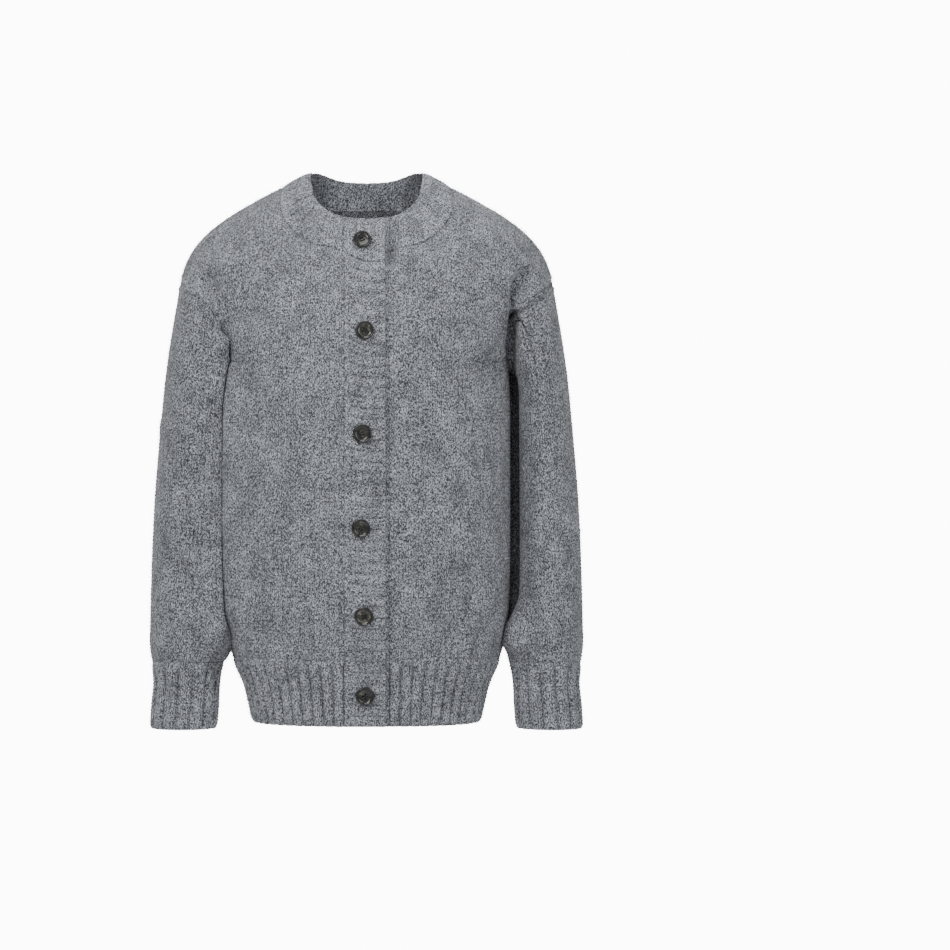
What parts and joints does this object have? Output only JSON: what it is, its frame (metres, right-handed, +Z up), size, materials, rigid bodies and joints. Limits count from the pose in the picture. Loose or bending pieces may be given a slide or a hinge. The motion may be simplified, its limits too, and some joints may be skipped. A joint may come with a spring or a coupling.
{
  "type": "button cardigan",
  "caption": "Women's crew-neck cardigan in thick brushed wool, buttoned and filled out as worn, hollow, with ribbed neckband, plackets, hem and cuffs and dished horn buttons.",
  "frame": {"origin": "between the side neck points, where the wearer's shoulders hold the garment up", "axes": "+Z up, -Y towards the button front, +X towards the wearer's left"},
  "size_m": [0.4962, 0.2599, 0.6382],
  "materials": {
    "back": "brushed wool knit, mid grey melange",
    "front_right": "brushed wool knit, mid grey melange",
    "front_left": "brushed wool knit, mid grey melange",
    "hem_band": "brushed wool knit, mid grey melange",
    "placket_right": "brushed wool knit, mid grey melange",
    "placket_left": "brushed wool knit, mid grey melange",
    "neckband": "brushed wool knit, mid grey melange",
    "sleeve_right": "brushed wool knit, mid grey melange",
    "sleeve_left": "brushed wool knit, mid grey melange",
    "cuff_right": "brushed wool knit, mid grey melange",
    "cuff_left": "brushed wool knit, mid grey melange",
    "button_1": "polished dark horn",
    "button_2": "polished dark horn",
    "button_3": "polished dark horn",
    "button_4": "polished dark horn",
    "button_5": "polished dark horn",
    "button_6": "polished dark horn"
  },
  "bodies": {
    "root": {"back": "back", "front_right": "front_right", "front_left": "front_left", "hem_band": "hem_band", "placket_right": "placket_right", "placket_left": "placket_left", "neckband": "neckband", "sleeve_right": "sleeve_right", "sleeve_left": "sleeve_left", "cuff_right": "cuff_right", "cuff_left": "cuff_left", "button_1": "button_1", "button_2": "button_2", "button_3": "button_3", "button_4": "button_4", "button_5": "button_5", "button_6": "button_6"}
  },
  "joints": []
}
